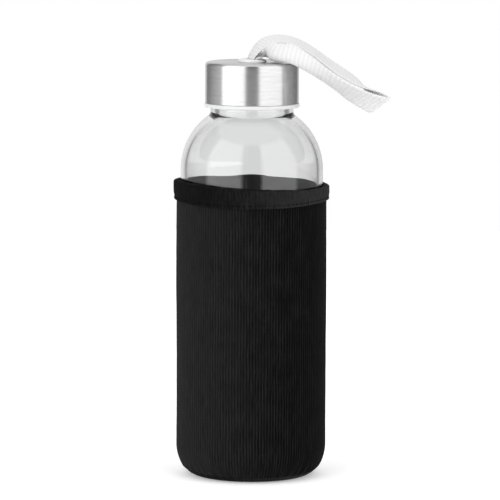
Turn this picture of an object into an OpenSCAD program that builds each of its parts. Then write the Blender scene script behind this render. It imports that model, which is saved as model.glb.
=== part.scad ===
// Glass water bottle: a round-shouldered glass bottle with a screw cap, a
// webbing carry loop on the cap and a ribbed fabric sleeve. Millimetres,
// +Z up, origin at the centre of the face that the sleeve stands on.

/* [Bottle] */
// Height from the ground to the top of the cap
total_h = 185; // [180:0.5:190]
// Outer diameter of the glass body
glass_d = 63.4; // [63:0.2:65]
// Thickness of the glass wall
glass_wall = 2.4; // [1.8:0.1:3]
// Thickness of the glass floor
glass_floor = 5; // [4:0.5:7]
// Radius of the round shoulder in section
shoulder_r = 29.3; // [29:0.1:30.2]
// Diameter of the neck just below the cap
neck_d = 36.8; // [36.4:0.1:37]
// Diameter of the bore through the neck
bore_d = 29.6; // [28:0.2:30]

/* [Cap] */
// Outer diameter of the steel shell
cap_d = 41.7; // [41.4:0.1:42.5]
// Height of the steel shell
cap_h = 18.3; // [18:0.1:19]
// Sheet thickness of the steel shell
shell_wall = 0.5; // [0.4:0.1:0.6]
// Diameter of the plastic flange under the shell
flange_d = 42.3; // [42:0.1:43]
// Height of the plastic flange
flange_h = 1.8; // [1.5:0.1:2.2]

/* [Thread] */
// Rise of the thread in one turn
pitch = 4.23; // [4:0.01:4.4]
// Crest diameter of the thread on the glass
thread_d = 37; // [36.8:0.1:37.2]
// Turns of thread on the glass
thread_turns = 1.5; // [1:0.25:1.75]

/* [Carry loop] */
// Width of the webbing
web_w = 12.4; // [11.5:0.1:12.6]
// Thickness of the webbing
web_t = 1.1; // [0.9:0.1:1.1]
// Turn of the webbing slot about the cap's axis
slot_turn = 10; // [8:1:12]

/* [Sleeve] */
// Thickness of the sleeve fabric
sleeve_wall_t = 1.4; // [1:0.1:1.5]
// Height of the sleeve's rim above the ground
sleeve_h = 131.4; // [128:0.5:132]
// Height of the folded hem
hem_h = 7.4; // [6:0.2:8]
// Outer diameter of the folded hem
hem_d = 69.3; // [69:0.1:70]

/* [Hidden] */
$fn = 96;
fit_gap = 0.2;          // between the sleeve and the glass, and over the threads
part_gap = 0.05;        // between pieces that are assembled in one body

// Sleeve and glass share a soft bottom corner, an ellipse about one centre
glass_r = glass_d / 2;
sleeve_in_r = glass_r + fit_gap;
sleeve_out_r = sleeve_in_r + sleeve_wall_t;
corner_z = 14;          // height where the sleeve's corner meets its wall
corner_w = 10;           // how far the sleeve's corner reaches in
corner_r = sleeve_out_r - corner_w;
seam_z = 2.4;           // height of the seam round the sleeve's base
glass_z = sleeve_wall_t + fit_gap;

// Shoulder arc: tangent to the body at shoulder_z
shoulder_c = glass_r - shoulder_r;
shoulder_z = 137.2;
neck_r = neck_d / 2;
neck_flare = 0.6;       // how much wider the neck's foot is
bore_r = bore_d / 2;
punt_r = 20;
punt_h = 1.6;

// Cap, from its top down
shell_top = total_h;
shell_z = total_h - cap_h;
shell_r = cap_d / 2;
shell_edge = 1.5;       // radius of the shell's top edge
liner_z = shell_z - flange_h;
liner_out_r = shell_r - shell_wall - part_gap;
liner_in_r = thread_d / 2 + fit_gap;
deck_gap = 1.9;         // room under the shell for the strap's tails
deck_t = 1.2;
deck_top = total_h - shell_wall - deck_gap;
seal_t = 1.4;
seal_top = deck_top - deck_t - part_gap;
mouth_z = seal_top - seal_t - 0.1;

// Threads: the cap's runs below the bottle's by thread_drop, pulled down tight
finish_r = neck_r - 0.7;
thread_z = liner_z + 5.2;
thread_drop = 1.6;
crest_in_r = finish_r + 0.2;
thread_step = 10;       // degrees between a thread's sections
rib_bite = 0.4;         // how deep a thread is rooted in its wall

// Strap ferrule: an oval eyelet of which the collar shows on the cap
ferrule_w = 12.4;
ferrule_l = 16;
ferrule_h = 1.2;
barrel_w = 6;
barrel_l = 15;
barrel_depth = 1.3;
slot_w = 3.2;
slot_l = web_w + 0.6;

// Carry loop's route. Each station holds the middle of the webbing (x, y, z), the
// turn of its width about Z, its tilt with the far selvage up, and how far its
// middle sags out of flat. The outer ply runs out to the fold at the tip, and the
// inner ply runs back over the cap's rim and down on to the ferrule.
ROUTE = [
  [1, 0, 189, 15, 0, 0],
  [4, -1.5, 192.5, 20, 5, 0],
  [8.5, -5, 195, 20, 10, 0],
  [15, -8, 195.3, 15, 15, 0],
  [24, -11, 192, 10, 20, 0],
  [36, -12, 183.5, 10, 25, 0],
  [46, -12, 177.3, 5, 15, 0],
  [52, -12, 172.8, 15, -10, 0],
  [55, -13, 168.6, 45, -30, 0],
  [56.5, -15, 167, 60, -35, 0],
  [53.5, -15.5, 168, 55, -30, 0],
  [46, -15, 171.2, 35, -25, 0],
  [36, -14, 177.2, 10, -28, 0.5],
  [24.5, -14.5, 185, 0, -46, 2.3],
  [17, -13.5, 188.8, -5, -58, 3.2],
  [12, -11, 188.9, -15, -60, 3.3],
  [9, -6.5, 189.3, -35, -50, 2.5],
  [7, -2.5, 187.9, -22, -16, 0.5],
  [4.5, 0, 188, 0, 9, 0],
  [2, 0, 187.4, 10, 4, 0]
];
route_steps = 2;        // sections of the solid from one station to the next
web_spans = 4;          // flats across the webbing in a section

// Sleeve stitches
seam_w = 5.6;           // degrees round the wall
seam_t = 0.4;
hem_stitches = 84;
base_stitches = 60;
stitch = [1.7, 0.35, 0.35];

// Points on a circular or elliptical arc in the section plane
function arc(c, rx, ry, from, to, steps) =
  [for (i = [0:steps]) let (a = from + (to - from) * i / steps) [c[0] + rx * cos(a), c[1] + ry * sin(a)]];

function unit(v) = v / norm(v);

// Angle on the corner ellipse of height ry where it crosses the seam
function seam_angle(ry) = -asin((corner_z - seam_z) / ry);

// The bottle's section: punt, corner, shoulder and neck outside, then the bore
function glass_section() =
  let (foot = acos((neck_r + neck_flare - shoulder_c) / shoulder_r),
       in_r = shoulder_r - glass_wall,
       in_foot = acos((bore_r + neck_flare - shoulder_c) / in_r),
       round_in = 8,
       punt_arc = (punt_r * punt_r + punt_h * punt_h) / (2 * punt_h),
       floor_z = glass_z + glass_floor)
  concat(
    [for (i = [0:5]) let (r = punt_r * i / 5)
      [r, glass_z + punt_h - punt_arc + sqrt(punt_arc * punt_arc - r * r)]],
    arc([corner_r, corner_z], glass_r - corner_r, corner_z - glass_z, -90, 0, 12),
    arc([shoulder_c, shoulder_z], shoulder_r, shoulder_r, 0, foot, 20),
    [[neck_r + 0.2, liner_z - 2.2], [neck_r, liner_z - 1], [neck_r, liner_z + 1.6],
     [finish_r, liner_z + 2.3]],
    arc([finish_r - 1, mouth_z - 1], 1, 1, 0, 90, 4),
    arc([bore_r + 0.8, mouth_z - 0.8], 0.8, 0.8, 90, 180, 4),
    [[bore_r, shoulder_z + in_r * sin(in_foot) + 1.4]],
    arc([shoulder_c, shoulder_z], in_r, in_r, in_foot, 0, 20),
    arc([glass_r - glass_wall - round_in, floor_z + round_in], round_in, round_in, 0, -90, 8),
    [[0, floor_z + punt_h / 2]]);

// Height of a thread at station i, as a share of its full height
function thread_reach(i, steps) = min(1, i / 4, (steps - i) / 4);

// One section of a thread. It is rooted rib_bite inside the wall, and near its
// ends its crest sinks to just inside the wall.
function thread_section(i, steps, root, crest, foot_w, crest_w) =
  let (a = i * thread_step,
       out = root < crest ? 1 : -1,
       sunk = root - out * rib_bite / 2,
       r = sunk + (crest - sunk) * thread_reach(i, steps),
       bite = root - out * rib_bite)
  [for (p = [[bite, -foot_w / 2], [r, -crest_w / 2], [r, crest_w / 2], [bite, foot_w / 2]])
    [p[0] * cos(a), p[0] * sin(a), pitch * a / 360 + p[1]]];

// A helical rib from radius root to radius crest
module thread_rib(root, crest, turns, foot_w, crest_w) {
  steps = turns * 360 / thread_step;
  points = [for (i = [0:steps]) each thread_section(i, steps, root, crest, foot_w, crest_w)];
  sides = [for (i = [0:steps - 1]) for (j = [0:3])
    let (p = 4 * i + j, q = 4 * i + (j + 1) % 4) each [[p, q, q + 4], [p, q + 4, p + 4]]];
  last = 4 * steps;
  faces = concat([[3, 2, 1, 0]], sides, [[last, last + 1, last + 2, last + 3]]);
  polyhedron(points, root < crest ? faces : [for (f = faces) [for (i = [len(f) - 1:-1:0]) f[i]]]);
}

module glass_bottle() color([0.85, 0.9, 0.89, 0.4]) union() {
  rotate_extrude() polygon(glass_section());
  translate([0, 0, thread_z]) thread_rib(finish_r, thread_d / 2, thread_turns, 1.9, 0.9);
}

module cap_seal() color("gainsboro") translate([0, 0, seal_top - seal_t])
  difference() {
    cylinder(h = seal_t, r = finish_r + 0.9);
    translate([0, 0, -1]) cylinder(h = seal_t + 2, r = bore_r - 0.6);
  }

// Plastic liner: flange, threaded skirt, deck over the seal and a rim that
// holds the steel up. Its bore and thread are true to the bottle's finish.
module cap_liner() color("whitesmoke") {
  edge = shell_edge - shell_wall;
  rim_top = total_h - shell_wall - part_gap;
  difference() {
    rotate_extrude() polygon(concat(
      [[0, liner_z], [flange_d / 2 - 0.4, liner_z], [flange_d / 2, liner_z + 0.4],
       [flange_d / 2, shell_z - part_gap - 0.3], [flange_d / 2 - 0.3, shell_z - part_gap],
       [liner_out_r, shell_z - part_gap]],
      arc([liner_out_r - edge, rim_top - edge], edge, edge, 0, 90, 4),
      [[liner_in_r - 0.6, rim_top], [liner_in_r - 0.6, deck_top], [0, deck_top]]));
    translate([0, 0, liner_z - 1]) cylinder(h = deck_top - deck_t - liner_z + 1, r = liner_in_r);
  }
  translate([0, 0, thread_z - thread_drop])
    thread_rib(liner_in_r, crest_in_r, thread_turns, 1.6, 0.7);
}

// Steel shell: drawn cup with a rounded edge and an oval hole for the ferrule
module cap_shell() color("silver") difference() {
  edge_in = shell_edge - shell_wall;
  in_r = shell_r - shell_wall;
  rotate_extrude() polygon(concat(
    [[in_r, shell_z], [shell_r, shell_z]],
    arc([shell_r - shell_edge, total_h - shell_edge], shell_edge, shell_edge, 0, 90, 6),
    [[0, total_h], [0, total_h - shell_wall]],
    arc([in_r - edge_in, total_h - shell_edge], edge_in, edge_in, 90, 0, 6)));
  translate([0, 0, total_h - 2]) slot_prism(barrel_w + 2 * part_gap, barrel_l + 2 * part_gap, 4);
}

// A round-ended prism along the strap's slot, standing on z = 0
module slot_prism(w, l, h) rotate([0, 0, slot_turn]) {
  straight = l - w;
  translate([-w / 2, -straight / 2, 0]) cube([w, straight, h]);
  for (end = [-1, 1]) translate([0, end * straight / 2, 0]) cylinder(h = h, d = w);
}

module strap_ferrule() color("white") difference() {
  union() {
    translate([0, 0, total_h + part_gap]) slot_prism(ferrule_w, ferrule_l, ferrule_h - 0.3);
    translate([0, 0, total_h + part_gap + ferrule_h - 0.4]) slot_prism(ferrule_w - 1, ferrule_l - 1, 0.4);
    translate([0, 0, total_h - barrel_depth]) slot_prism(barrel_w, barrel_l, barrel_depth + 0.5);
  }
  rotate([0, 0, slot_turn]) translate([-slot_w / 2, -slot_l / 2, total_h - 5]) cube([slot_w, slot_l, 10]);
}

// Both ends of the webbing stand in the slot and turn out flat under the steel
module strap_root() color("white") rotate([0, 0, slot_turn]) {
  tail = 7;
  foot_z = deck_top + part_gap;
  stem_w = 2 * web_t + 0.3;
  foot_top = total_h - barrel_depth - part_gap;
  translate([-stem_w / 2, -web_w / 2, foot_z]) cube([stem_w, web_w, total_h + ferrule_h + 0.1 - foot_z]);
  translate([-tail, -web_w / 2, foot_z]) cube([2 * tail, web_w, foot_top - foot_z]);
}

// A smooth curve through four stations, at share t from b to c
function between(a, b, c, d, t) =
  0.5 * (2 * b + (c - a) * t + (2 * a - 5 * b + 4 * c - d) * t * t + (3 * b - a - 3 * c + d) * t * t * t);

// The whole route, with its stations filled in to route_steps for each span
function full_route() = let (last = len(ROUTE) - 1)
  concat([for (i = [0:last - 1]) for (k = [0:route_steps - 1])
            between(ROUTE[max(i - 1, 0)], ROUTE[i], ROUTE[i + 1], ROUTE[min(i + 2, last)], k / route_steps)],
         [ROUTE[last]]);

function middle(station) = [station[0], station[1], station[2]];
function width_way(station) = let (turn = station[3], tilt = station[4])
  [-sin(turn) * cos(tilt), cos(turn) * cos(tilt), sin(tilt)];

// The closed outline of the webbing's section at station i: one face, then the other
function web_section(route, i) =
  let (across = width_way(route[i]),
       ahead = unit(middle(route[min(i + 1, len(route) - 1)]) - middle(route[max(i - 1, 0)])),
       face = unit(cross(across, ahead)),
       sag = route[i][5],
       half_w = (web_w + sqrt(web_w * web_w - 32 * sag * sag / 3)) / 4)
  [for (side = [-1, 1]) for (k = [0:web_spans])
    let (u = -side * (1 - 2 * k / web_spans))
    middle(route[i]) + across * half_w * u + face * (side * web_t / 2 - sag * (1 - 1.5 * u * u))];

// One ribbon swept along the route
module strap_loop() color("white") {
  route = full_route();
  count = len(route);
  ring = 2 * (web_spans + 1);
  points = [for (i = [0:count - 1]) each web_section(route, i)];
  sides = [for (i = [0:count - 2]) for (j = [0:ring - 1])
    let (p = ring * i + j, q = ring * i + (j + 1) % ring) each [[p, q + ring, q], [p, p + ring, q + ring]]];
  last = ring * (count - 1);
  polyhedron(points, concat([[for (j = [0:ring - 1]) j]], sides, [[for (j = [ring - 1:-1:0]) last + j]]));
}

module sleeve_base() color([0.1, 0.1, 0.1]) {
  out_h = corner_z;
  in_h = corner_z - sleeve_wall_t;
  rotate_extrude() polygon(concat([[0, 0]],
    arc([corner_r, corner_z], corner_w, out_h, -90, seam_angle(out_h), 6),
    arc([corner_r, corner_z], corner_w - sleeve_wall_t, in_h, seam_angle(in_h), -90, 6),
    [[0, sleeve_wall_t]]));
}

module sleeve_wall() color([0.12, 0.12, 0.12]) {
  out_h = corner_z;
  in_h = corner_z - sleeve_wall_t;
  top = sleeve_h - sleeve_wall_t - 0.4;
  rotate_extrude() polygon(concat(
    arc([corner_r, corner_z], corner_w, out_h, seam_angle(out_h), 0, 8),
    [[sleeve_out_r, top], [sleeve_in_r, top]],
    arc([corner_r, corner_z], corner_w - sleeve_wall_t, in_h, 0, seam_angle(in_h), 8)));
}

// The hem is the top of the fabric turned out and down over itself
module sleeve_hem() color([0.16, 0.16, 0.16]) {
  under = sleeve_h - sleeve_wall_t - 0.4;
  hem_r = hem_d / 2;
  fold = 1.2;
  low = 0.5;
  rotate_extrude() polygon(concat(
    [[sleeve_out_r, under], [sleeve_out_r, sleeve_h - hem_h]],
    arc([hem_r - low, sleeve_h - hem_h + low], low, low, -90, 0, 3),
    arc([hem_r - fold, sleeve_h - fold], fold, fold, 0, 90, 5),
    arc([sleeve_in_r + 0.6, sleeve_h - 0.6], 0.6, 0.6, 90, 180, 3),
    [[sleeve_in_r, under]]));
}

module sleeve_side_seam() color([0.1, 0.1, 0.1]) rotate([0, 0, 90 - seam_w / 2])
  rotate_extrude(angle = seam_w)
    translate([sleeve_out_r, corner_z]) square([seam_t, sleeve_h - hem_h - corner_z - 0.2]);

// A ring of short stitches lying on the surface at radius r
module stitch_ring(count, r, lean) for (i = [0:count - 1])
  rotate([0, 0, (i + 0.5) * 360 / count]) translate([r + stitch[1] / 2, 0, 0])
    rotate([0, lean, 0]) cube([stitch[1], stitch[0], stitch[2]], center = true);

module hem_stitching() color([0.2, 0.2, 0.2])
  translate([0, 0, sleeve_h - hem_h + 1.4]) stitch_ring(hem_stitches, hem_d / 2, 0);

module base_stitching() color([0.2, 0.2, 0.2])
  translate([0, 0, seam_z + 1]) stitch_ring(base_stitches, corner_r + corner_w * 0.71, 42);

glass_bottle();
cap_seal();
cap_liner();
cap_shell();
strap_ferrule();
strap_root();
strap_loop();
sleeve_base();
sleeve_wall();
sleeve_hem();
sleeve_side_seam();
hem_stitching();
base_stitching();
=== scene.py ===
"""Looks of a glass water bottle in a ribbed fabric sleeve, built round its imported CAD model.

Lengths are in metres. +Z is up, the bottle's axis is the Z axis, and the camera looks along +Y.
"""
import math

import bpy
import numpy as np
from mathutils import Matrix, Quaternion, Vector, noise


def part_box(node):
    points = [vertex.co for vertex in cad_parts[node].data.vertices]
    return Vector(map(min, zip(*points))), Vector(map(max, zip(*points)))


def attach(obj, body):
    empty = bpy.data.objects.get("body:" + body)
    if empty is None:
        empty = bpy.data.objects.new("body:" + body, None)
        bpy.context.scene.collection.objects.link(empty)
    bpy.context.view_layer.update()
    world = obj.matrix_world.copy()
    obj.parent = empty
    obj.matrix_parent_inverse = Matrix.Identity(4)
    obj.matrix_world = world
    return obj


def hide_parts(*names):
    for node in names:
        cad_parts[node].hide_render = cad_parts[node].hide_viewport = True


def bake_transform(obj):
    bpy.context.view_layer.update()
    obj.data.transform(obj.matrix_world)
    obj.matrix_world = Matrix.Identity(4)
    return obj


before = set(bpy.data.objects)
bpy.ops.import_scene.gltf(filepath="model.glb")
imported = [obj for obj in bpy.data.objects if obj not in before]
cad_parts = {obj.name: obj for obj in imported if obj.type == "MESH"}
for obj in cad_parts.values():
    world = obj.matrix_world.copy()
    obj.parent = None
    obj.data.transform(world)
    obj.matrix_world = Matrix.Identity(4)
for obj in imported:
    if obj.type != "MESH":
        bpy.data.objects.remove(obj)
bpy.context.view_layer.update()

MM = 0.001
TAU = 2 * math.pi


# ---------------------------------------------------------------- sizes, taken from the frame
def top_of(node):
    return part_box(node)[1].z


def foot_of(node):
    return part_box(node)[0].z


def radius_of(node):
    low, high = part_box(node)
    return (high.x - low.x) / 2


CAP_TOP = top_of("cap_shell")
CAP_FOOT = foot_of("cap_shell")
CAP_R = radius_of("cap_shell")
FLANGE_FOOT = foot_of("cap_liner")
FLANGE_R = radius_of("cap_liner")
GLASS_R = radius_of("glass_bottle")
GLASS_FOOT = foot_of("glass_bottle")
MOUTH = top_of("glass_bottle")
SEAL_FOOT = foot_of("cap_seal")
SEAL_TOP = top_of("cap_seal")
SLEEVE_R = radius_of("sleeve_wall")
HEM_R = radius_of("sleeve_hem")
HEM_FOOT = foot_of("sleeve_hem")
HEM_TOP = top_of("sleeve_hem")
BASE_SEAM = top_of("sleeve_base")

# Sizes that the frame's boxes don't say, as in the CAD model
GLASS_WALL = 2.4 * MM
GLASS_FLOOR = 5 * MM
SHOULDER_R = 29.3 * MM
SHOULDER_Z = 137.2 * MM
NECK_R = 18.4 * MM
FINISH_R = 17.7 * MM
BORE_R = 14.8 * MM
NECK_FLARE = 0.6 * MM
PUNT_R = 20 * MM
PUNT_H = 1.6 * MM
PITCH = 4.23 * MM
THREAD_TURNS = 1.5
THREAD_FOOT = FLANGE_FOOT + 5.2 * MM
THREAD_CREST = 18.5 * MM
THREAD_DROP = 1.6 * MM
LINER_IN_R = 18.7 * MM
LINER_CREST = 17.9 * MM
SLEEVE_T = 1.4 * MM
CORNER_Z = 14 * MM
CORNER_W = 10 * MM
CORNER_R = SLEEVE_R - CORNER_W
SHELL_T = 0.5 * MM
SHELL_EDGE = 1.5 * MM
PART_GAP = 0.05 * MM
DECK_ROOM = 1.85 * MM           # from the liner's rim down to its deck
DECK_T = 1.2 * MM
WEB_T = 1.1 * MM
SLOT_TURN = math.radians(10)

# Half sizes of the rounded oblongs round the webbing's slot: across it, along it
SHELL_HOLE = (3.05 * MM, 7.55 * MM)
BARREL = (2.95 * MM, 7.45 * MM)
COLLAR = (6.2 * MM, 8.0 * MM)
SLOT = (1.6 * MM, 6.5 * MM)

# Sides of the round pieces
GLASS_SIDES = 224
STEEL_SIDES = 256
SEAL_SIDES = 160

# Counts round or along the sleeve
RIBS = 160
RIB_VERTS = 5
GATHERS = 46
GATHER_VERTS = 8
HEM_STITCHES = 96
BASE_STITCHES = 110
ZIGZAG_STITCHES = 62


# ---------------------------------------------------------------- mesh helpers
def arc(cr, cz, rx, rz, start, end, steps):
    """Points along an arc of an ellipse in the (radius, height) plane, angles in degrees."""
    angles = np.radians(np.linspace(start, end, steps + 1))
    return [(cr + rx * math.cos(a), cz + rz * math.sin(a)) for a in angles]


def line(a, b, steps):
    """Points from a towards b, without b."""
    return [(a[0] + (b[0] - a[0]) * i / steps, a[1] + (b[1] - a[1]) * i / steps)
            for i in range(steps)]


def smooth_step(x, low, high):
    t = min(1.0, max(0.0, (x - low) / (high - low)))
    return t * t * (3 - 2 * t)


def make_object(name, points, faces, crease=40):
    """A smooth-shaded object, with edges sharper than crease degrees kept sharp."""
    mesh = bpy.data.meshes.new(name)
    mesh.from_pydata([tuple(p) for p in points], [], faces)
    mesh.validate()
    mesh.polygons.foreach_set("use_smooth", [True] * len(mesh.polygons))
    mesh.set_sharp_from_angle(angle=math.radians(crease))
    mesh.update()
    obj = bpy.data.objects.new(name, mesh)
    bpy.context.scene.collection.objects.link(obj)
    return obj


def lathe(name, section, segments, shape=None, closed=True, crease=40):
    """Turns a section of (radius, height) points round the Z axis. Without shape, a row at radius 0
    becomes one point. shape(angle, radius, height, row) moves a point in its own plane through the
    axis. A closed section also joins its last row to its first."""
    rows, points, faces = [], [], []
    for row, (r, z) in enumerate(section):
        if r <= 0 and shape is None:
            points.append((0, 0, z))
            rows.append([len(points) - 1] * segments)
            continue
        ring = []
        for i in range(segments):
            a = TAU * i / segments
            rr, zz = (r, z) if shape is None else shape(a, r, z, row)
            points.append((rr * math.cos(a), rr * math.sin(a), zz))
            ring.append(len(points) - 1)
        rows.append(ring)
    count = len(rows)
    for j in range(count if closed else count - 1):
        low, high = rows[j], rows[(j + 1) % count]
        for i in range(segments):
            k = (i + 1) % segments
            quad = [low[i], low[k], high[k], high[i]]
            face = list(dict.fromkeys(quad))
            if len(face) > 2:
                faces.append(face)
    return make_object(name, points, faces, crease)


def capsule(a, b, radius, sides=6):
    """Points and faces of a short round-ended thread from a to b."""
    axis = (b - a).normalized()
    side = axis.orthogonal().normalized()
    other = axis.cross(side)
    length = (b - a).length
    points = [a]
    rings = [(0.1, 0.6), (0.3, 1.0), (0.7, 1.0), (0.9, 0.6)]
    for along, wide in rings:
        for i in range(sides):
            t = TAU * i / sides
            out = side * math.cos(t) + other * math.sin(t)
            points.append(a + axis * length * along + out * radius * wide)
    points.append(b)
    faces = [[0, 1 + (i + 1) % sides, 1 + i] for i in range(sides)]
    for j in range(len(rings) - 1):
        for i in range(sides):
            k = (i + 1) % sides
            low, high = 1 + j * sides, 1 + (j + 1) * sides
            faces.append([low + i, low + k, high + k, high + i])
    last = 1 + (len(rings) - 1) * sides
    faces += [[last + i, last + (i + 1) % sides, len(points) - 1] for i in range(sides)]
    return points, faces


def thread_of_stitches(name, stitches, radius):
    """One object from many stitches, each a pair of end points."""
    points, faces = [], []
    for a, b in stitches:
        p, f = capsule(a, b, radius)
        faces += [[i + len(points) for i in face] for face in f]
        points += p
    return make_object(name, points, faces, 60)


def round_noise(angle, z, around, up, seed):
    """Smooth noise from -1 to 1 that closes on itself round the axis."""
    return noise.noise(Vector((around * math.cos(angle), around * math.sin(angle), z * up + seed)))


# ---------------------------------------------------------------- material helpers
def new_material(name, **sockets):
    """A Principled material with its even values set on the shader's own sockets."""
    material = bpy.data.materials.new(name)
    material.use_nodes = True
    shader = material.node_tree.nodes["Principled BSDF"]
    for key, value in sockets.items():
        shader.inputs[key.replace("_", " ")].default_value = value
    return material, shader


def add(material, kind, **values):
    """A node with the given attributes, and sockets set by name where the name is one."""
    node = material.node_tree.nodes.new(kind)
    for key, value in values.items():
        if hasattr(node, key):
            setattr(node, key, value)
        else:
            node.inputs[key.replace("_", " ")].default_value = value
    return node


def link(material, source, target):
    material.node_tree.links.new(source, target)


def math_node(material, operation, a, b=0.0, c=0.0):
    node = add(material, "ShaderNodeMath", operation=operation)
    for socket, value in zip(node.inputs, (a, b, c)):
        if isinstance(value, (int, float)):
            socket.default_value = value
        else:
            link(material, value, socket)
    return node.outputs[0]


def colour_ramp(material, factor, stops):
    """A ramp through (position, grey or colour) stops."""
    ramp = add(material, "ShaderNodeValToRGB")
    elements = ramp.color_ramp.elements
    while len(elements) < len(stops):
        elements.new(0.5)
    for element, (position, colour) in zip(elements, stops):
        element.position = position
        grey = isinstance(colour, (int, float))
        element.color = (colour, colour, colour, 1) if grey else (*colour, 1)
    link(material, factor, ramp.inputs["Fac"])
    return ramp.outputs["Color"]


def bump(material, shader, height, distance, strength=1.0, after=None):
    node = add(material, "ShaderNodeBump", Strength=strength, Distance=distance)
    link(material, height, node.inputs["Height"])
    if after is not None:
        link(material, after, node.inputs["Normal"])
    link(material, node.outputs["Normal"], shader.inputs["Normal"])
    return node.outputs["Normal"]


def axis_coordinates(material):
    """Object coordinates as (angle round the axis in radians, distance from the axis, height)."""
    where = add(material, "ShaderNodeTexCoord").outputs["Object"]
    xyz = add(material, "ShaderNodeSeparateXYZ")
    link(material, where, xyz.inputs[0])
    x, y, z = xyz.outputs
    angle = math_node(material, "ARCTAN2", y, x)
    squares = math_node(material, "ADD", math_node(material, "MULTIPLY", x, x),
                        math_node(material, "MULTIPLY", y, y))
    flat = math_node(material, "POWER", squares, 0.5)
    return where, angle, flat, z


def combine(material, x, y, z):
    node = add(material, "ShaderNodeCombineXYZ")
    for socket, value in zip(node.inputs, (x, y, z)):
        if isinstance(value, (int, float)):
            socket.default_value = value
        else:
            link(material, value, socket)
    return node.outputs[0]


def noise_node(material, vector, scale, detail=2.0, roughness=0.5):
    node = add(material, "ShaderNodeTexNoise", Scale=scale, Detail=detail, Roughness=roughness)
    link(material, vector, node.inputs["Vector"])
    return node.outputs["Fac"]


# ---------------------------------------------------------------- materials
def glass_material():
    """Clear soda-lime glass with a faint mould seam and slight waves in its surface."""
    material, shader = new_material(
        "clear_glass", Base_Color=(0.95, 0.953, 0.952, 1), Roughness=0.0, IOR=1.5,
        Transmission_Weight=1.0)
    where, angle, _, _ = axis_coordinates(material)
    wave = noise_node(material, where, 55, 1.0)
    off_seam = math_node(material, "ABSOLUTE", math_node(material, "ADD", angle, math.radians(95)))
    seam = math_node(material, "SMOOTH_MIN", math_node(material, "MULTIPLY", off_seam, 60), 1.0, 0.6)
    height = math_node(material, "ADD", math_node(material, "MULTIPLY", wave, 0.5), seam)
    bump(material, shader, height, 0.04 * MM, 0.5)
    return material


def steel_material():
    """Stainless steel brushed round the cap, in fine rings of faint streaks."""
    material, shader = new_material(
        "brushed_steel", Metallic=1.0, Anisotropic=0.7, Anisotropic_Rotation=0.25)
    _, angle, flat, z = axis_coordinates(material)
    across = math_node(material, "ADD", z, flat)
    streaks = combine(material, math_node(material, "MULTIPLY", angle, 0.0018), 0.0, across)
    fine = noise_node(material, streaks, 3200, 3.0, 0.7)
    broad = noise_node(material, streaks, 900, 2.0)
    both = math_node(material, "ADD", math_node(material, "MULTIPLY", fine, 0.6),
                     math_node(material, "MULTIPLY", broad, 0.4))
    link(material, colour_ramp(material, both, [(0.3, 0.45), (0.7, 0.55)]),
         shader.inputs["Base Color"])
    rough = add(material, "ShaderNodeMapRange",
                From_Min=0.25, From_Max=0.75, To_Min=0.21, To_Max=0.24)
    link(material, both, rough.inputs["Value"])
    link(material, rough.outputs["Result"], shader.inputs["Roughness"])
    tangent = add(material, "ShaderNodeTangent", direction_type="RADIAL", axis="Z")
    link(material, tangent.outputs[0], shader.inputs["Tangent"])
    bump(material, shader, both, 0.012 * MM, 0.02)
    return material


def plastic_material(name, grey, roughness, soft):
    """White moulded plastic with a faint moulded grain; soft is how far light goes in."""
    material, shader = new_material(name, Roughness=roughness, Subsurface_Weight=soft, IOR=1.49)
    shader.inputs["Subsurface Radius"].default_value = (1.0, 1.0, 0.95)
    shader.inputs["Subsurface Scale"].default_value = 0.8 * MM
    where = add(material, "ShaderNodeTexCoord").outputs["Object"]
    tone = noise_node(material, where, 260, 3.0)
    link(material, colour_ramp(material, tone, [(0.3, grey * 0.97), (0.7, grey)]),
         shader.inputs["Base Color"])
    bump(material, shader, noise_node(material, where, 2600, 3.0), 0.02 * MM, 0.3)
    return material


def silicone_material():
    material, shader = new_material("seal_silicone", Roughness=0.5, Subsurface_Weight=0.4)
    shader.inputs["Subsurface Radius"].default_value = (1.0, 1.0, 1.0)
    shader.inputs["Subsurface Scale"].default_value = 1.0 * MM
    where = add(material, "ShaderNodeTexCoord").outputs["Object"]
    link(material, colour_ramp(material, noise_node(material, where, 300), [(0.3, 0.74), (0.7, 0.8)]),
         shader.inputs["Base Color"])
    bump(material, shader, noise_node(material, where, 2200, 2.0), 0.02 * MM, 0.3)
    return material


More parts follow.
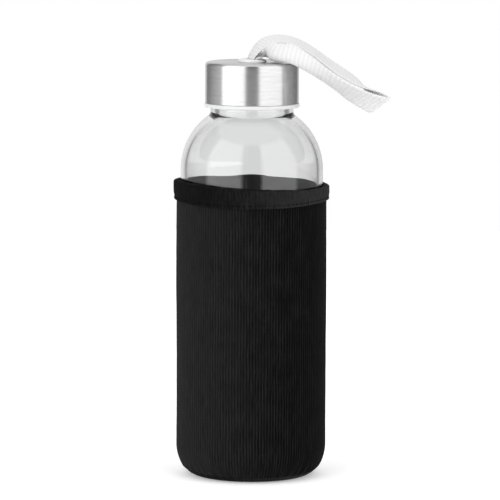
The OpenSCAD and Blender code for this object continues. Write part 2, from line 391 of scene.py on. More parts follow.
def knit_material(name, dark, light, ribbed, painted_side_light):
    """Black foam-backed knit over a fine loop texture. On ribbed cloth the rib crests are painted a
    little
    lighter than the furrows: painted highlight and painted shade. The last argument paints shade across
    the sides: a positive one makes the +X side lighter than the -X side, a negative one the other way."""
    material, shader = new_material(
        name, Roughness=0.95, Sheen_Weight=0.015, Sheen_Roughness=0.4, Specular_IOR_Level=0.06)
    where, angle, _, z = axis_coordinates(material)
    cloth = noise_node(material, where, 3400, 3.0, 0.6)
    patches = noise_node(material, where, 130, 3.0)
    upright = combine(material, math_node(material, "MULTIPLY", angle, 60.0), 0.0,
                      math_node(material, "MULTIPLY", z, 150.0))
    streaks = noise_node(material, upright, 1.0, 2.0, 0.6)
    tone = math_node(material, "ADD", math_node(material, "MULTIPLY", cloth, 0.4),
                     math_node(material, "MULTIPLY", patches, 0.15))
    tone = math_node(material, "ADD", tone, math_node(material, "MULTIPLY", streaks, 0.45))
    if ribbed:
        # Painted highlight on the rib crests, painted shade in the furrows.
        painted_ridge_light = add(material, "ShaderNodeAttribute", attribute_name="painted_ridge_light").outputs["Fac"]
        tone = math_node(material, "ADD", tone, math_node(material, "MULTIPLY", painted_ridge_light, 0.4))
    # Painted light and shade across the sides: one side of the cloth painted lighter, the other darker.
    side = math_node(material, "MULTIPLY", math_node(material, "COSINE", angle), painted_side_light)
    tone = math_node(material, "ADD", tone, side)
    link(material, colour_ramp(material, tone, [(0.4, dark), (1.0, light)]),
         shader.inputs["Base Color"])
    loops = add(material, "ShaderNodeTexVoronoi", Scale=1500.0)
    stretched = combine(material, math_node(material, "MULTIPLY", angle, 33 * MM), 0.0,
                        math_node(material, "MULTIPLY", z, 0.6))
    link(material, stretched, loops.inputs["Vector"])
    loop_height = math_node(material, "MULTIPLY", loops.outputs["Distance"], 0.7)
    height = math_node(material, "ADD", loop_height, cloth)
    bump(material, shader, height, 0.12 * MM, 0.6)
    return material


def webbing_material():
    """White woven webbing: fine yarns across the strap, between the ribs that the mesh holds."""
    material, shader = new_material(
        "white_webbing", Roughness=0.82, Sheen_Weight=0.15, Sheen_Roughness=0.4, Subsurface_Weight=0.12)
    shader.inputs["Subsurface Radius"].default_value = (1.0, 1.0, 1.0)
    shader.inputs["Subsurface Scale"].default_value = 0.6 * MM
    along = add(material, "ShaderNodeAttribute", attribute_name="strap_along").outputs["Fac"]
    across = add(material, "ShaderNodeAttribute", attribute_name="strap_across").outputs["Fac"]
    warp = math_node(material, "SINE", math_node(material, "MULTIPLY", across, TAU / 0.62))
    weft = math_node(material, "SINE", math_node(material, "MULTIPLY", along, TAU / 0.65))
    weave = math_node(material, "MULTIPLY", warp, weft)
    fuzz = noise_node(material, combine(material, across, along, 0.0), 3.0, 4.0, 0.7)
    height = math_node(material, "ADD", math_node(material, "MULTIPLY", weave, 0.5), fuzz)
    # Painted light on the ribs: crests painted lighter, grooves darker, as painted highlight and painted
    # shade.
    painted_ridge_light = add(material, "ShaderNodeAttribute", attribute_name="painted_ridge_light").outputs["Fac"]
    tone = math_node(material, "ADD", math_node(material, "MULTIPLY", height, 0.18), painted_ridge_light)
    link(material, colour_ramp(material, tone, [(0.0, 0.56), (0.45, 0.66), (1.0, 0.71)]),
         shader.inputs["Base Color"])
    bump(material, shader, height, 0.06 * MM, 0.7)
    return material


def thread_material():
    material, shader = new_material("black_thread", Roughness=0.95, Specular_IOR_Level=0.06)
    where = add(material, "ShaderNodeTexCoord").outputs["Object"]
    twist = noise_node(material, where, 4200, 2.0)
    link(material, colour_ramp(material, twist, [(0.3, 0.002), (0.7, 0.007)]),
         shader.inputs["Base Color"])
    bump(material, shader, twist, 0.05 * MM, 0.6)
    return material


def paint(obj, material):
    obj.data.materials.clear()
    obj.data.materials.append(material)


# ---------------------------------------------------------------- bottle and cap
def thread_height(angle, z, foot, drop):
    """How much of its full height a screw thread has at this angle and height, from 0 to 1."""
    fade_turns, crest_half, foot_half = 0.12, 0.35 * MM, 1.0 * MM
    best = 0.0
    for turn in range(-1, 3):
        along = angle / TAU + turn
        if not 0 <= along <= THREAD_TURNS:
            continue
        fade = min(1.0, along / fade_turns, (THREAD_TURNS - along) / fade_turns)
        off = abs(z - (foot - drop + PITCH * along))
        best = max(best, fade * (1 - smooth_step(off, crest_half, foot_half)))
    return best


def make_bottle():
    """The glass, from the middle of its dented foot up the outside and down the inside."""
    foot_angle = math.degrees(math.acos((NECK_R + NECK_FLARE - GLASS_R + SHOULDER_R) / SHOULDER_R))
    in_r = SHOULDER_R - GLASS_WALL
    centre = GLASS_R - SHOULDER_R
    # The soft inner corner where the shoulder turns up into the bore
    in_round = 3.5 * MM
    in_angle = math.degrees(math.acos((BORE_R + in_round - centre) / (in_r + in_round)))
    in_corner = SHOULDER_Z + (in_r + in_round) * math.sin(math.radians(in_angle))
    floor = GLASS_FOOT + GLASS_FLOOR
    round_in = 8 * MM
    punt_arc = (PUNT_R ** 2 + PUNT_H ** 2) / (2 * PUNT_H)
    corner = GLASS_R - CORNER_R
    section = [(r, GLASS_FOOT + PUNT_H - punt_arc + math.sqrt(punt_arc ** 2 - r * r))
               for r in np.linspace(0, PUNT_R, 10)]
    section += arc(CORNER_R, CORNER_Z, corner, CORNER_Z - GLASS_FOOT, -90, 0, 20)
    section += line((GLASS_R, CORNER_Z + 4 * MM), (GLASS_R, SHOULDER_Z), 8)
    section += arc(centre, SHOULDER_Z, SHOULDER_R, SHOULDER_R, 0, foot_angle, 60)
    neck_foot = section[-1]
    section += [(NECK_R + (NECK_FLARE * (1 - t) ** 2.2), neck_foot[1] + 1.9 * MM * t)
                for t in (0.2, 0.4, 0.6, 0.8)]
    section += line((NECK_R, neck_foot[1] + 2.1 * MM), (NECK_R, FLANGE_FOOT + 1.6 * MM), 5)
    section += line((FINISH_R, FLANGE_FOOT + 2.3 * MM), (FINISH_R, MOUTH - 1 * MM), 46)
    section += arc(FINISH_R - MM, MOUTH - MM, MM, MM, 0, 90, 6)
    section += arc(BORE_R + 0.8 * MM, MOUTH - 0.8 * MM, 0.8 * MM, 0.8 * MM, 90, 180, 6)
    section += line((BORE_R, MOUTH - 2 * MM), (BORE_R, in_corner + 0.3 * MM), 8)
    section += arc(BORE_R + in_round, in_corner, in_round, in_round, 180, 180 + in_angle, 12)[:-1]
    section += arc(centre, SHOULDER_Z, in_r, in_r, in_angle, 0, 60)
    section += line((GLASS_R - GLASS_WALL, SHOULDER_Z - 8 * MM),
                    (GLASS_R - GLASS_WALL, floor + round_in + 6 * MM), 12)
    section += arc(GLASS_R - GLASS_WALL - round_in, floor + round_in, round_in, round_in, 0, -90, 14)
    section += [(r, floor + PUNT_H / 2 * (1 - (r / PUNT_R) ** 2)) for r in (15 * MM, 8 * MM, 0)]

    def shape(angle, r, z, row):
        if abs(r - FINISH_R) < 0.01 * MM and z < MOUTH - MM:
            r += (THREAD_CREST - FINISH_R) * thread_height(angle, z, THREAD_FOOT, 0)
        elif r > BORE_R + MM and row > len(section) / 2 and floor + round_in < z:
            r += 0.12 * MM * round_noise(angle, z, 1.6, 30, 3.0)
        return r, z

    bottle = lathe("bottle", section, GLASS_SIDES, shape, closed=False, crease=50)
    paint(bottle, glass_material())
    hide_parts("glass_bottle")
    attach(bottle, "bottle")


def superellipse(angle, halves, power):
    """Polar radius of a rounded oblong whose long side lies along the strap's slot."""
    half_w, half_l = halves
    a = angle - SLOT_TURN
    return (abs(math.cos(a) / half_w) ** power + abs(math.sin(a) / half_l) ** power) ** (-1 / power)


def make_shell():
    """The steel cup, from the webbing's slot in its top out and down, and back up the inside."""
    flat = CAP_R - SHELL_EDGE
    inner = SHELL_EDGE - SHELL_T
    section = line((0, CAP_TOP), (flat, CAP_TOP), 12)
    section += arc(flat, CAP_TOP - SHELL_EDGE, SHELL_EDGE, SHELL_EDGE, 90, 0, 12)
    section += line((CAP_R, CAP_TOP - SHELL_EDGE - 2 * MM), (CAP_R, CAP_FOOT + 0.5 * MM), 6)
    section += [(CAP_R, CAP_FOOT + up * MM) for up in (0.5, 0.25, 0.12)]
    section += [(CAP_R - 0.1 * MM, CAP_FOOT), (CAP_R - SHELL_T, CAP_FOOT)]
    section += line((CAP_R - SHELL_T, CAP_FOOT + MM), (CAP_R - SHELL_T, CAP_TOP - SHELL_EDGE), 5)
    section += arc(flat, CAP_TOP - SHELL_EDGE, inner, inner, 0, 90, 6)
    under = CAP_TOP - SHELL_T
    section += line((flat - 2 * MM, under), (0, under), 5) + [(0, under)]

    def shape(angle, r, z, row):
        if r < flat and z > CAP_TOP - MM:
            hole = superellipse(angle, SHELL_HOLE, 3)
            r = hole + (flat - hole) * r / flat
        return r, z

    shell = lathe("steel_shell", section, STEEL_SIDES, shape, crease=35)
    paint(shell, steel_material())
    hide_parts("cap_shell")
    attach(shell, "cap")


def make_liner(plastic):
    """The threaded cup inside the steel, with the flange that shows under it."""
    edge = 0.45 * MM
    rim = CAP_TOP - SHELL_T - PART_GAP
    out_r = CAP_R - SHELL_T - PART_GAP
    flange_top = CAP_FOOT - PART_GAP
    deck_top = top_of("cap_liner") - DECK_ROOM
    deck_foot = deck_top - DECK_T
    section = line((LINER_IN_R, deck_foot), (LINER_IN_R, FLANGE_FOOT + 0.3 * MM), 46)
    section += [(LINER_IN_R + 0.1 * MM, FLANGE_FOOT + 0.1 * MM), (LINER_IN_R + 0.4 * MM, FLANGE_FOOT)]
    section += arc(FLANGE_R - edge, FLANGE_FOOT + edge, edge, edge, -90, 0, 6)
    section += arc(FLANGE_R - edge, flange_top - edge, edge, edge, 0, 90, 6)
    section += line((out_r, flange_top), (out_r, rim - MM), 4)
    section += arc(out_r - MM, rim - MM, MM, MM, 0, 90, 5)
    section += [(LINER_IN_R - 0.6 * MM, rim), (LINER_IN_R - 0.6 * MM, deck_top), (0, deck_top)]
    section += [(0, deck_foot), (14 * MM, deck_foot)]

    def shape(angle, r, z, row):
        if abs(r - LINER_IN_R) < 0.01 * MM and z < deck_foot - 0.1 * MM:
            r -= (LINER_IN_R - LINER_CREST) * thread_height(angle, z, THREAD_FOOT, THREAD_DROP)
        return r, z

    liner = lathe("liner", section, GLASS_SIDES, shape, crease=50)
    paint(liner, plastic)
    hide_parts("cap_liner")
    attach(liner, "cap")


def make_seal():
    """A ring with a rounded outer edge and a raised bead where the glass meets it."""
    low, high = SEAL_FOOT, SEAL_TOP
    out_r, in_r, r = radius_of("cap_seal"), BORE_R - 0.6 * MM, 0.35 * MM
    section = arc(out_r - r, low + r, r, r, -90, 0, 4) + arc(out_r - r, high - r, r, r, 0, 90, 4)
    section += arc(in_r + r, high - r, r, r, 90, 180, 4) + arc(in_r + r, low + r, r, r, 180, 270, 4)
    seal = lathe("seal", section, SEAL_SIDES)
    paint(seal, silicone_material())
    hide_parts("cap_seal")
    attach(seal, "seal")


def make_ferrule(plastic):
    """The oval eyelet: a domed collar on the steel and a short barrel through it, round a narrow
    slot. A point's radius in the profile is its share of the way from the slot to the collar's rim."""
    low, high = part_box("strap_ferrule")
    top, seat = high.z, CAP_TOP + PART_GAP
    profile = [(0.0, low.z), (0.0, seat + 0.5 * MM), (0.04, top - 0.12 * MM), (0.12, top),
               (0.55, top), (0.78, top - 0.1 * MM), (0.9, top - 0.32 * MM), (0.97, top - 0.62 * MM),
               (1.0, seat + 0.2 * MM), (0.995, seat), (0.45, seat), (0.34, seat), (0.34, low.z)]

    def shape(angle, share, z, row):
        if row >= len(profile) - 2:
            return superellipse(angle, BARREL, 3), z
        slot = superellipse(angle, SLOT, 7)
        rim = superellipse(angle, COLLAR, 2.4)
        return slot + (rim - slot) * share, z

    ferrule = lathe("ferrule", profile, STEEL_SIDES, shape, crease=50)
    paint(ferrule, plastic)
    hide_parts("strap_ferrule")
    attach(ferrule, "cap")


# ---------------------------------------------------------------- carry loop
# The loop's route as in the CAD model: the middle of the webbing (x, y, z), the turn of its width about
# Z, its tilt with the far selvage up, and how far its middle sags out of flat; millimetres and degrees.
ROUTE = [
    (1, 0, 189, 15, 0, 0),
    (4, -1.5, 192.5, 20, 5, 0),
    (8.5, -5, 195, 20, 10, 0),
    (15, -8, 195.3, 15, 15, 0),
    (24, -11, 192, 10, 20, 0),
    (36, -12, 183.5, 10, 25, 0),
    (46, -12, 177.3, 5, 15, 0),
    (52, -12, 172.8, 15, -10, 0),
    (55, -13, 168.6, 45, -30, 0),
    (56.5, -15, 167, 60, -35, 0),
    (53.5, -15.5, 168, 55, -30, 0),
    (46, -15, 171.2, 35, -25, 0),
    (36, -14, 177.2, 10, -28, 0.5),
    (24.5, -14.5, 185, 0, -46, 2.3),
    (17, -13.5, 188.8, -5, -58, 3.2),
    (12, -11, 188.9, -15, -60, 3.3),
    (9, -6.5, 189.3, -35, -50, 2.5),
    (7, -2.5, 187.9, -22, -16, 0.5),
    (4.5, 0, 188, 0, 9, 0),
    (2, 0, 187.4, 10, 4, 0),
]
# The two ends of the webbing, standing side by side in the ferrule's slot
ROOT_UP = [(-0.7, 0, 183, 10, 0, 0), (-0.7, 0, 185.2, 10, 0, 0), (-0.2, 0, 187.2, 12, 0, 0)]
ROOT_DOWN = [(0.85, 0, 186.4, 10, 0, 0), (0.7, 0, 185, 10, 0, 0), (0.7, 0, 183, 10, 0, 0)]
WEB_W = 12.4 * MM
STRAP_STEP = 0.24 * MM
RIB_PITCH = 1.95 * MM
RIB_DEPTH = 0.08 * MM
SELVAGE_TOOTH = 0.14 * MM
WEB_SPANS = 20                  # points across each face of the webbing


def spline(points, steps):
    """A Catmull-Rom curve through the points, with steps places between each pair."""
    p = np.vstack([points[0], points, points[-1]])
    t = (np.arange(steps) / steps)[:, None]
    out = []
    for i in range(1, len(p) - 2):
        a, b, c, d = p[i - 1], p[i], p[i + 1], p[i + 2]
        out.append(0.5 * (2 * b + (c - a) * t + (2 * a - 5 * b + 4 * c - d) * t ** 2
                          + (3 * b - a - 3 * c + d) * t ** 3))
    return np.vstack(out + [p[-1:]])


def even_route():
    """The route at even steps along the webbing: middle, turn, tilt, sag and distance along it."""
    stations = spline(np.array(ROOT_UP + ROUTE + ROOT_DOWN, float), 16)
    middle, sag = stations[:, :3] * MM, stations[:, 5] * MM
    turn, tilt = np.radians(stations[:, 3:5]).T
    along = np.concatenate([[0], np.cumsum(np.linalg.norm(np.diff(middle, axis=0), axis=1))])
    places = np.arange(0, along[-1], STRAP_STEP)
    pick = lambda values: np.interp(places, along, values)
    middle = np.stack([pick(middle[:, k]) for k in range(3)], axis=1)
    return middle, pick(turn), pick(tilt), pick(sag), places


def unit_rows(v):
    """Each row scaled to length 1."""
    return v / np.linalg.norm(v, axis=1)[:, None]


def make_strap():
    """The webbing, swept along its route from the ferrule's slot and back into it."""
    middle, turn, tilt, sag, along = even_route()
    across = np.stack([-np.sin(turn) * np.cos(tilt), np.cos(turn) * np.cos(tilt), np.sin(tilt)], axis=1)
    face = unit_rows(np.cross(across, np.gradient(middle, axis=0)))
    # Half of the chord that a web of full width spans when its middle sags
    half_w = (WEB_W + np.sqrt(WEB_W ** 2 - 32 * sag ** 2 / 3)) / 4
    # Round the section: the outer face from selvage to selvage, then the inner face
    places_across = np.concatenate([np.linspace(-1, 1, WEB_SPANS), np.linspace(1, -1, WEB_SPANS)])
    side = np.array([1] * WEB_SPANS + [-1] * WEB_SPANS)
    edge = np.abs(places_across) > 0.99
    ring = len(places_across)
    tooth = np.cos(along / (RIB_PITCH / 2) * TAU)
    rib = 0.5 + 0.3 * np.cos(along / RIB_PITCH * TAU) + 0.2 * tooth
    points, painted_ridge_light, strap_along, strap_across = [], [], [], []
    for i in range(len(along)):
        for u, s, e in zip(places_across, side, edge):
            out = face[i] * half_w[i] - across[i] * 3 * sag[i] * u
            out /= np.linalg.norm(out)
            flat = 1 - abs(u) ** 8
            thin = 0.4 if e else 0.85 + 0.15 * flat
            lift = (WEB_T / 2 - RIB_DEPTH * (1 - rib[i]) * flat) * thin
            reach = u * half_w[i] + (u * (SELVAGE_TOOTH * tooth[i] - 0.05 * MM) if e else -u * 0.2 * MM)
            sagging = face[i] * sag[i] * (1 - 1.5 * u * u)
            points.append(middle[i] + across[i] * reach - sagging + out * s * lift)
            painted_ridge_light.append(rib[i])
            strap_along.append(along[i] / MM)
            strap_across.append(u * WEB_W / 2 / MM)
    quads = []
    for i in range(len(along) - 1):
        for j in range(ring):
            k = (j + 1) % ring
            quads.append([i * ring + j, i * ring + k, (i + 1) * ring + k, (i + 1) * ring + j])
    last = (len(along) - 1) * ring
    quads += [list(range(ring))[::-1], [last + j for j in range(ring)]]
    strap = make_object("carry_loop", points, quads, 70)
    # The rib value also goes to the material, for painted light on the rib crests.
    for name, values in (("painted_ridge_light", painted_ridge_light), ("strap_along", strap_along), ("strap_across", strap_across)):
        attribute = strap.data.attributes.new(name, "FLOAT", "POINT")
        attribute.data.foreach_set("value", np.array(values, np.float32))
    paint(strap, webbing_material())
    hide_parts("strap_loop", "strap_root")
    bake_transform(strap)


# ---------------------------------------------------------------- sleeve
SLEEVE_RIB_H = 0.15 * MM
STITCH_LINE = 1.4 * MM          # height of the hem's stitches above its foot
CORNER_IN_H = CORNER_Z - SLEEVE_T


def seam_angle(height):
    """Where the base's seam lies on a corner of this height, in degrees below its middle."""
    return math.degrees(math.asin((CORNER_Z - BASE_SEAM) / height))


def hem_rise(angle):
    """The hem's upper edge runs higher on the left than on the right, with a gentle wave."""
    back = math.exp(-((angle - math.radians(86)) / 0.3) ** 2)
    return MM * (-1.1 * math.cos(angle) - 0.35 * abs(math.sin(angle)) + 0.3 * math.sin(2 * angle + 0.6)
                 + 0.8 * back + 0.35 * round_noise(angle, 0, 3.5, 0, 7.0))


def hem_pinch(angle):
    """A small pleat in the fold at the left end of the hem."""
    off = (angle - math.radians(174) + math.pi) % TAU - math.pi
    return math.exp(-(off / 0.035) ** 2)


def hem_drop(angle):
    """How far the hem's lower edge hangs below its foot: most at the front."""
    sag = 1.5 * max(0.0, -math.sin(angle + 0.06)) ** 1.5
    return MM * (sag + 0.2 * round_noise(angle, 0, 4, 0, 21.0))


def body_sway(angle, z):
    """Low, wide waves in the sleeve's side."""
    return 0.28 * MM * round_noise(angle, z, 1.3, 16, 11.0)


def gather_phase(angle):
    """Phase of the gathers round the sleeve's foot, which wall and base share."""
    return GATHERS * angle + 2 * round_noise(angle, 0, 5, 0, 9.0)


def make_sleeve_wall(knit):
    """The ribbed tube, its foot rounded in and gathered to the base. Its crests are kept for the
    material, which paints them lighter: painted highlight on the crests."""
    top = HEM_TOP - SLEEVE_T - 0.6 * MM
    section = arc(CORNER_R, CORNER_Z, CORNER_W, CORNER_Z, -seam_angle(CORNER_Z), 0, 16)
    section += line((SLEEVE_R, CORNER_Z + 1.2 * MM), (SLEEVE_R, top), 84) + [(SLEEVE_R, top)]
    outside = len(section)
    in_r = SLEEVE_R - SLEEVE_T
    section += line((in_r, top), (in_r, CORNER_Z), 10)
    section += arc(CORNER_R, CORNER_Z, CORNER_W - SLEEVE_T, CORNER_IN_H,
                   0, -seam_angle(CORNER_IN_H), 8)
    painted_ridge_lights = {}

    def shape(angle, r, z, row):
        if row >= outside:
            return r, z
        wander = 0.9 * round_noise(angle, z, 9, 60, 1.0) + 0.5 * round_noise(angle, z, 26, 190, 2.0)
        crest = max(0.0, math.cos(RIBS * angle + wander)) ** 1.5
        strength = 0.75 + 0.5 * round_noise(angle, z, 14, 90, 5.0)
        low = smooth_step(z, BASE_SEAM, BASE_SEAM + 7 * MM)
        pucker = (1 - low) * 0.3 * MM * math.cos(gather_phase(angle))
        tuck = (1 - smooth_step(z, BASE_SEAM, BASE_SEAM + 1.1 * MM)) * 0.45 * MM
        painted_ridge_lights[(row, angle)] = crest * strength
        under_hem = smooth_step(z, HEM_FOOT - 3 * MM, HEM_FOOT)
        sway = (body_sway(angle, z) + 0.05 * MM) * low * (1 - under_hem)
        r += SLEEVE_RIB_H * crest * strength + sway
        r += pucker - tuck
        return r, z

    segments = RIBS * RIB_VERTS
    wall = lathe("sleeve_wall_knit", section, segments, shape, crease=60)
    # Crest strength per point, for the painted highlight on the crests.
    values = np.zeros(len(wall.data.vertices), np.float32)
    for (row, angle), value in painted_ridge_lights.items():
        values[row * segments + round(angle / TAU * segments)] = value
    wall.data.attributes.new("painted_ridge_light", "FLOAT", "POINT").data.foreach_set("value", values)
    paint(wall, knit)
    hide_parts("sleeve_wall")
    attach(wall, "sleeve")


def dent(z, middle):
    """A soft groove, 1 at its middle."""
    return math.exp(-((z - middle) / (0.5 * MM)) ** 2)


def make_hem(cloth):
    """The top of the sleeve folded outwards: a soft roll above and a stitched edge below."""
    in_r = SLEEVE_R - SLEEVE_T
    under = HEM_TOP - SLEEVE_T - 0.4 * MM
    fold = 1.25 * MM
    section = [(SLEEVE_R - 0.15 * MM, under), (SLEEVE_R - 0.15 * MM, HEM_FOOT + 1.2 * MM)]
    section += [(SLEEVE_R, HEM_FOOT + 0.15 * MM)]
    section += arc(HEM_R - 0.7 * MM, HEM_FOOT + 0.7 * MM, 0.6 * MM, 0.7 * MM, -90, 0, 5)
    section += line((HEM_R - 0.22 * MM, HEM_FOOT + STITCH_LINE), (HEM_R, HEM_FOOT + 4 * MM), 6)
    section += arc(HEM_R - fold, HEM_TOP - fold, fold, fold, 0, 90, 10)
    section += arc(in_r + 0.7 * MM, HEM_TOP - 0.7 * MM, 0.7 * MM, 0.7 * MM, 90, 180, 6)
    section += [(in_r, HEM_TOP - 1.3 * MM), (in_r, under)]
    height = HEM_TOP - HEM_FOOT

    def shape(angle, r, z, row):
        height_up = z - HEM_FOOT
        share = smooth_step(height_up / height, 0.25, 1.0)
        z += hem_rise(angle) * share - 0.55 * MM * hem_pinch(angle) * share
        z -= (1 - share) * hem_drop(angle)
        outer = smooth_step(r, SLEEVE_R, HEM_R)
        pull = 0.2 * MM * round_noise(angle, z, 18, 120, 13.0) + 0.07 * MM * math.cos(RIBS * angle)
        wave = 0.25 * MM * round_noise(angle, z, 2.2, 25, 4.0)
        r += outer * (pull + wave - 0.5 * MM * hem_pinch(angle))
        crease = dent(z, HEM_TOP - 2.4 * MM) * (0.6 + round_noise(angle, 0, 2.6, 0, 31.0))
        r -= outer * (dent(height_up, STITCH_LINE) * 0.22 * MM + crease * 0.3 * MM)
        return r, z

    hem = lathe("sleeve_hem_roll", section, RIBS * RIB_VERTS, shape, crease=70)
    paint(hem, cloth)
    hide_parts("sleeve_hem")
    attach(hem, "sleeve")


def make_base(cloth):
    """The round bottom piece, gathered a little where it meets the wall's seam."""
    section = [(0, 0), (8 * MM, 0), (16 * MM, 0), (22 * MM, 0)]
    section += arc(CORNER_R, CORNER_Z, CORNER_W, CORNER_Z, -90, -seam_angle(CORNER_Z), 12)
    section += arc(CORNER_R, CORNER_Z, CORNER_W - SLEEVE_T, CORNER_IN_H,
                   -seam_angle(CORNER_IN_H), -90, 6)
    section += [(14 * MM, SLEEVE_T), (0, SLEEVE_T)]

    def shape(angle, r, z, row):
        gather = smooth_step(r, 26 * MM, 30 * MM)
        out = 0.25 * MM * gather * math.cos(gather_phase(angle))
        return r + out, z + 0.12 * MM * gather * (1 + round_noise(angle, r, 8, 200, 6.0))

    sides = GATHERS * GATHER_VERTS
    base = lathe("sleeve_bottom", section, sides, shape, closed=False, crease=60)
    paint(base, cloth)
    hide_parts("sleeve_base")
    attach(base, "sleeve")


def make_stitching(thread):
    """The stitches along the hem's foot and over the base's seam."""
    def hem_point(place):
        t = TAU * place / HEM_STITCHES
        r = HEM_R - 0.28 * MM
        return Vector((r * math.cos(t), r * math.sin(t), HEM_FOOT + STITCH_LINE - hem_drop(t)))

    hem_stitches = [(hem_point(i + 0.14), hem_point(i + 0.8)) for i in range(HEM_STITCHES)]
    hem = thread_of_stitches("hem_stitches", hem_stitches, 0.16 * MM)
    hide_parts("hem_stitching")

    def base_point(t, out, z):
        return Vector(((CORNER_R + out) * math.cos(t), (CORNER_R + out) * math.sin(t), z))

    lean = TAU * 0.35 / BASE_STITCHES
    base_stitches = []
    for i in range(BASE_STITCHES):
        t = TAU * i / BASE_STITCHES
        base_stitches.append((base_point(t, 3.9 * MM, 1.5 * MM),
                              base_point(t + lean, 5.7 * MM, 3.7 * MM)))
    base = thread_of_stitches("base_stitches", base_stitches, 0.2 * MM)
    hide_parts("base_stitching")
    for obj in (hem, base):
        paint(obj, thread)
        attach(obj, "sleeve")


def make_side_seam(cloth, thread):
    """The tape over the join at the back of the sleeve, with a zigzag stitch along it."""
    low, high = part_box("sleeve_side_seam")
    half = math.asin((high.x - low.x) / 2 / SLEEVE_R)
    columns, rows = 14, 110
    points, faces = [], []
    for depth in (0, 1):
        for j in range(rows + 1):
            z = low.z + (high.z - low.z) * j / rows
            for i in range(columns + 1):
                u = -1 + 2 * i / columns
                a = math.pi / 2 + u * half
                ripple = 0.04 * MM * math.sin(TAU * z / (1.6 * MM))
                crown = 0.45 * MM * math.sqrt(max(0.0, 1 - u ** 4)) + ripple
                r = SLEEVE_R + 0.1 * MM + body_sway(a, z) + (crown if depth else -0.25 * MM)
                points.append((r * math.cos(a), r * math.sin(a), z))
    sheet = (rows + 1) * (columns + 1)
    at = lambda depth, j, i: depth * sheet + j * (columns + 1) + i
    for j in range(rows):
        for i in range(columns):
            faces.append([at(1, j, i), at(1, j, i + 1), at(1, j + 1, i + 1), at(1, j + 1, i)])
            faces.append([at(0, j, i), at(0, j + 1, i), at(0, j + 1, i + 1), at(0, j, i + 1)])
        end = columns
        faces.append([at(0, j, 0), at(1, j, 0), at(1, j + 1, 0), at(0, j + 1, 0)])
        faces.append([at(0, j, end), at(0, j + 1, end), at(1, j + 1, end), at(1, j, end)])
    for i in range(columns):
        faces.append([at(0, 0, i), at(0, 0, i + 1), at(1, 0, i + 1), at(1, 0, i)])
        faces.append([at(0, rows, i), at(1, rows, i), at(1, rows, i + 1), at(0, rows, i + 1)])
    seam = make_object("side_seam", points, faces, 60)
    paint(seam, cloth)
    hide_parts("sleeve_side_seam")
    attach(seam, "sleeve")

    def zigzag_point(k):
        a = math.pi / 2 + (0.55 if k % 2 else -0.55) * half
        z = low.z + 1.5 * MM + (high.z - low.z - 3 * MM) * k / ZIGZAG_STITCHES
        r = SLEEVE_R + 0.62 * MM + body_sway(a, z)
        return Vector((r * math.cos(a), r * math.sin(a), z))

    zigzag = [(zigzag_point(k), zigzag_point(k + 1)) for k in range(ZIGZAG_STITCHES)]
    stitches = thread_of_stitches("side_seam_stitches", zigzag, 0.15 * MM)
    paint(stitches, thread)
    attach(stitches, "sleeve")


# ---------------------------------------------------------------- studio
CAMERA_DISTANCE = 1.8
CAMERA_HEIGHT = 0.308
CAMERA_ROLL = math.radians(0.22)
AIM = Vector((-0.65 * MM, 0, 100.8 * MM))
VIEW_WIDTH = 223.2 * MM         # width of the frame at the bottle's axis
FLOOR_R = 1.0
FLOOR_SIDES = 96
# Brightness of the studio round the object: degrees from the front, level
ROUND_LIGHT = [(0, 0.18), (13, 0.26), (21, 2.15), (76, 2.15), (82, 0.7), (95, 0.6), (130, 0.27),
               (146, 0.27), (153, 0.78), (180, 0.82)]
BRIGHTEST = 2.5
OVERHEAD = 1.2
LEFT_BRIGHTER = 0.12


def make_camera():
    data = bpy.data.cameras.new("camera")
    camera = bpy.data.objects.new("camera", data)
    bpy.context.scene.collection.objects.link(camera)
    camera.location = (AIM.x, -CAMERA_DISTANCE, CAMERA_HEIGHT)
    look = AIM - camera.location
    turn = look.to_track_quat("-Z", "Y") @ Quaternion((0, 0, 1), CAMERA_ROLL)
    camera.rotation_euler = turn.to_euler()
    data.lens = data.sensor_width * look.length / VIEW_WIDTH
    data.clip_start, data.clip_end = 0.05, 50
    bpy.context.scene.camera = camera


def make_floor():
    """A round white table that the bottle stands on."""
    turns = [TAU * i / FLOOR_SIDES for i in range(FLOOR_SIDES)]
    rim = [(FLOOR_R * math.cos(t), FLOOR_R * math.sin(t), 0) for t in turns]
    floor = make_object("floor", rim, [list(range(FLOOR_SIDES))])
    floor.location.z = -0.02 * MM
    material, shader = new_material("pale_floor", Base_Color=(0.9, 0.9, 0.9, 1), Roughness=0.8)
    shader.inputs["Emission Color"].default_value = (1, 1, 1, 1)
    shader.inputs["Emission Strength"].default_value = 0.3
    floor.data.materials.append(material)


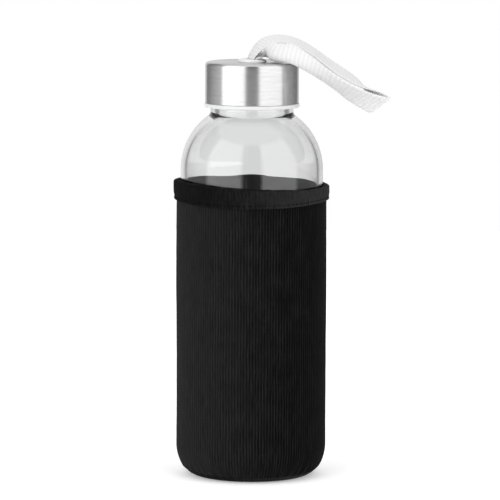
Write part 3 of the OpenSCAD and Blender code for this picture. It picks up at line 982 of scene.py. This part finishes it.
def make_world():
    """A white studio: two tall soft boxes in front, left and right of a dark gap, dim sides, a pale
    wall behind and a soft light overhead. The background itself is plain white to the camera."""
    world = bpy.data.worlds.new("studio")
    bpy.context.scene.world = world
    world.use_nodes = True
    tree = world.node_tree
    background = tree.nodes["Background"]
    where = tree.nodes.new("ShaderNodeTexCoord").outputs["Generated"]
    xyz = tree.nodes.new("ShaderNodeSeparateXYZ")
    tree.links.new(where, xyz.inputs[0])
    x, y, z = xyz.outputs
    # Angle from the front, the same to the left and to the right
    turn = math_node(world, "ARCTAN2", x, math_node(world, "MULTIPLY", y, -1.0))
    turn = math_node(world, "ABSOLUTE", turn)
    around = colour_ramp(world, math_node(world, "DIVIDE", turn, math.pi),
                         [(degrees / 180, level / BRIGHTEST) for degrees, level in ROUND_LIGHT])
    level = math_node(world, "MULTIPLY", around, BRIGHTEST)
    lean = math_node(world, "SUBTRACT", 1.0, math_node(world, "MULTIPLY", x, LEFT_BRIGHTER))
    above = add(world, "ShaderNodeMapRange", To_Min=0.0, To_Max=1.0,
                From_Min=math.sin(math.radians(46)), From_Max=math.sin(math.radians(52)))
    tree.links.new(z, above.inputs["Value"])
    above = above.outputs["Result"]
    lit = math_node(world, "MULTIPLY", math_node(world, "MULTIPLY", level, lean),
                    math_node(world, "SUBTRACT", 1.0, above))
    level = math_node(world, "ADD", lit, math_node(world, "MULTIPLY", above, OVERHEAD))
    seen = add(world, "ShaderNodeLightPath").outputs["Is Camera Ray"]
    unseen = math_node(world, "SUBTRACT", 1.0, seen)
    level = math_node(world, "MAXIMUM", math_node(world, "MULTIPLY", level, unseen), seen)
    tree.links.new(level, background.inputs["Strength"])
    background.inputs["Color"].default_value = (1, 1, 1, 1)


# ---------------------------------------------------------------- build
make_camera()
make_floor()
make_world()
bpy.context.scene.view_settings.view_transform = "Standard"

white_plastic = plastic_material("liner_plastic", 0.66, 0.38, 0.35)
eyelet_plastic = plastic_material("eyelet_plastic", 0.74, 0.3, 0.15)
# The last two arguments switch on the painted light on the rib crests and set the painted side shading:
# the wall painted lighter on the left, the hem painted lighter on the right.
ribbed_knit = knit_material("ribbed_knit", 0.001, 0.02, True, -0.2)
hem_knit = knit_material("hem_knit", 0.003, 0.04, False, 0.2)
thread = thread_material()
make_bottle()
make_shell()
make_liner(white_plastic)
make_seal()
make_ferrule(eyelet_plastic)
make_strap()
make_sleeve_wall(ribbed_knit)
make_hem(hem_knit)
make_base(hem_knit)
make_side_seam(hem_knit, thread)
make_stitching(thread)
